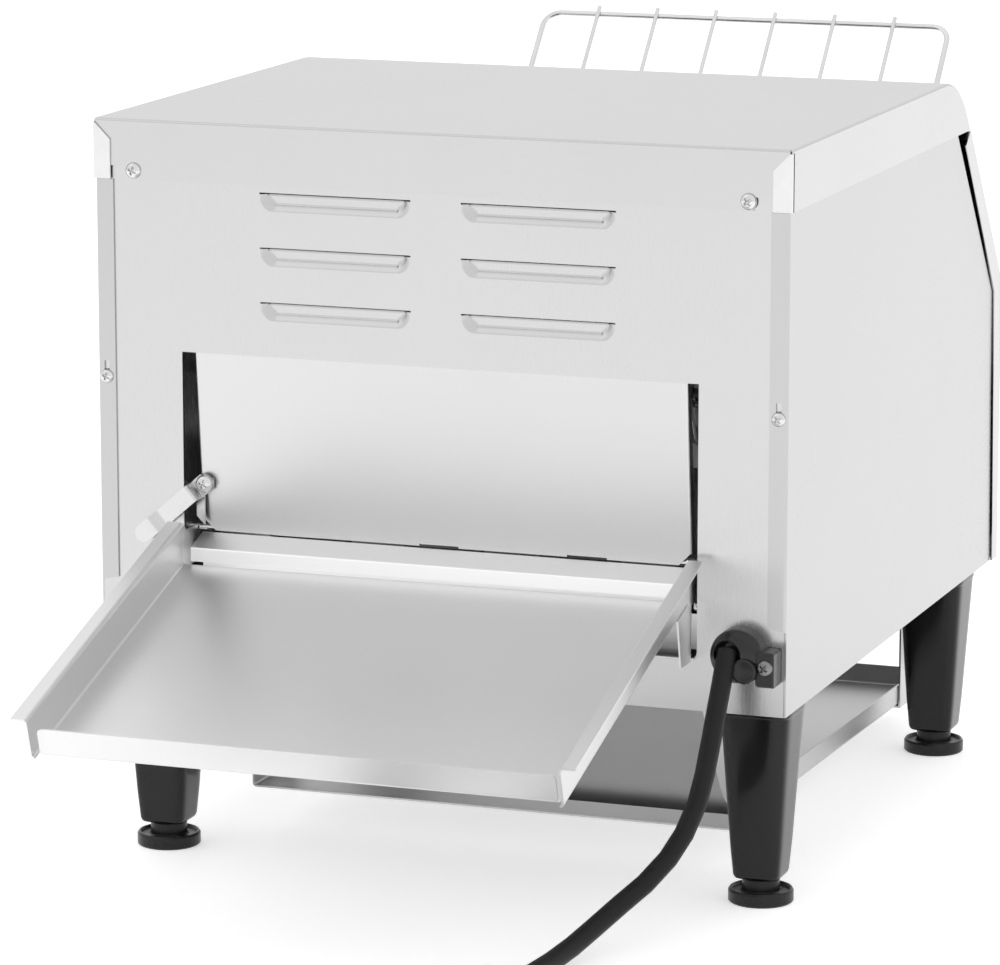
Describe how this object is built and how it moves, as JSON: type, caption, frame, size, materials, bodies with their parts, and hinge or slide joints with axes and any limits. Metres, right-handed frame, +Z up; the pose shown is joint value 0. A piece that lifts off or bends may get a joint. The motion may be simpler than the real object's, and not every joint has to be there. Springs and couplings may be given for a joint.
{
  "type": "conveyor toaster",
  "caption": "Countertop conveyor toaster in folded steel with a wire-rung belt, feed rack, chute, tipping deflector, sliding trays and adjustable legs.",
  "frame": {"origin": "on the floor, under the middle of the object without its cord", "axes": "+Z up, -Y towards the operator and the feed opening, +Y towards the rear tray, +X to the right seen from the front"},
  "size_m": [0.368, 0.8611, 0.3932],
  "materials": {
    "case_steel": "satin brushed",
    "bright_sheet": "bright",
    "steel_wire": "polished",
    "dark_steel": "oiled",
    "fastener": "polished",
    "bronze": "sintered",
    "leg_plastic": "gloss",
    "foot_plastic": "satin",
    "black_plastic": "satin",
    "white_plastic": "satin",
    "board": "satin",
    "motor_grey": "satin",
    "quartz": "clear",
    "ceramic": "glazed",
    "lamp": "gloss",
    "cord_rubber": "matte"
  },
  "bodies": {
    "housing": {"base_pan": "case_steel", "side_panel_left": "case_steel", "side_panel_right": "case_steel", "rear_panel": "case_steel", "top_cover": "case_steel", "front_panel": "case_steel", "inner_wall_left": "case_steel", "inner_wall_right": "case_steel", "upper_reflector": "bright_sheet", "chamber_floor": "case_steel", "chute": "case_steel", "deflector_rod": "steel_wire", "latch_bracket": "case_steel", "latch_screw": "fastener", "tray_studs": "fastener", "tray_hangers": "case_steel", "leg_front_left": "leg_plastic", "leg_front_right": "leg_plastic", "leg_rear_left": "leg_plastic", "leg_rear_right": "leg_plastic", "leg_bolts": "fastener", "shaft_bushes": "bronze", "conveyor_belt": "steel_wire", "belt_guides": "case_steel", "gearmotor": "motor_grey", "motor_bracket": "case_steel", "drive_chain": "dark_steel", "upper_heaters": "quartz", "lower_heaters": "quartz", "heater_caps": "ceramic", "selector_switch": "white_plastic", "speed_controller": "board", "pilot_lamps": "lamp", "terminal_block": "white_plastic", "cable_gland": "black_plastic", "gland_nut": "black_plastic", "cover_screws": "fastener", "panel_screws": "fastener", "rack_brackets": "case_steel", "power_cord": "cord_rubber", "cord_coil": "cord_rubber", "plug": "black_plastic"},
    "deflector": {"deflector": "case_steel"},
    "latch": {"latch": "case_steel"},
    "rear_tray": {"rear_tray": "case_steel"},
    "toast_tray": {"toast_tray": "case_steel"},
    "foot_front_left": {"foot_front_left": "foot_plastic"},
    "foot_front_right": {"foot_front_right": "foot_plastic"},
    "foot_rear_left": {"foot_rear_left": "foot_plastic"},
    "foot_rear_right": {"foot_rear_right": "foot_plastic"},
    "rear_axle": {"rear_shaft": "dark_steel", "rear_sprockets": "dark_steel", "driven_sprocket": "dark_steel"},
    "front_axle": {"front_shaft": "dark_steel", "front_sprockets": "dark_steel"},
    "motor_drive": {"motor_sprocket": "dark_steel"},
    "selector_knob": {"selector_knob": "black_plastic"},
    "speed_knob": {"speed_knob": "black_plastic"},
    "feed_rack": {"feed_rack": "steel_wire"}
  },
  "joints": [
    {"name": "deflector_hinge", "type": "hinge", "parent": "housing", "child": "deflector", "pos_m": [0, 0.14488, 0.1746], "axis": [1, 0, 0], "range_deg": [0, 34]},
    {"name": "latch_pivot", "type": "hinge", "parent": "housing", "child": "latch", "pos_m": [0.1275, 0.15338, 0.1985], "axis": [0, -1, 0], "range_deg": [0, 130]},
    {"name": "rear_tray_slide", "type": "slide", "parent": "housing", "child": "rear_tray", "axis": [0, 1, 0], "range_m": [0, 0.06]},
    {"name": "toast_tray_slide", "type": "slide", "parent": "housing", "child": "toast_tray", "axis": [0, -0.9998, -0.0192], "range_m": [0, 0.12]},
    {"name": "rear_axle_spin", "type": "hinge", "parent": "housing", "child": "rear_axle", "pos_m": [0, 0.07538, 0.245], "axis": [1, 0, 0], "continuous": true, "deforming": ["conveyor_belt", "drive_chain"]},
    {"name": "front_axle_spin", "type": "hinge", "parent": "housing", "child": "front_axle", "pos_m": [0, -0.21262, 0.245], "axis": [1, 0, 0], "continuous": true},
    {"name": "motor_spin", "type": "hinge", "parent": "housing", "child": "motor_drive", "pos_m": [0, -0.00054, 0.15888], "axis": [1, 0, 0], "continuous": true},
    {"name": "selector_turn", "type": "hinge", "parent": "housing", "child": "selector_knob", "pos_m": [-0.08, -0.24762, 0.178], "axis": [0, 1, 0], "range_deg": [0, 135]},
    {"name": "speed_turn", "type": "hinge", "parent": "housing", "child": "speed_knob", "pos_m": [0.08, -0.24762, 0.178], "axis": [0, 1, 0], "range_deg": [0, 270]},
    {"name": "feed_rack_fold", "type": "hinge", "parent": "housing", "child": "feed_rack", "pos_m": [0, -0.24585, 0.26877], "axis": [-1, 0, 0], "range_deg": [0, 70]},
    {"name": "foot_front_left_screw", "type": "slide", "parent": "housing", "child": "foot_front_left", "axis": [0, 0, -1], "range_m": [0, 0.015]},
    {"name": "foot_front_right_screw", "type": "slide", "parent": "housing", "child": "foot_front_right", "axis": [0, 0, -1], "range_m": [0, 0.015]},
    {"name": "foot_rear_left_screw", "type": "slide", "parent": "housing", "child": "foot_rear_left", "axis": [0, 0, -1], "range_m": [0, 0.015]},
    {"name": "foot_rear_right_screw", "type": "slide", "parent": "housing", "child": "foot_rear_right", "axis": [0, 0, -1], "range_m": [0, 0.015]}
  ],
  "couplings": [
    {"joint": "front_axle_spin", "follows": "rear_axle_spin", "ratio": 1},
    {"joint": "motor_spin", "follows": "rear_axle_spin", "ratio": 2}
  ]
}
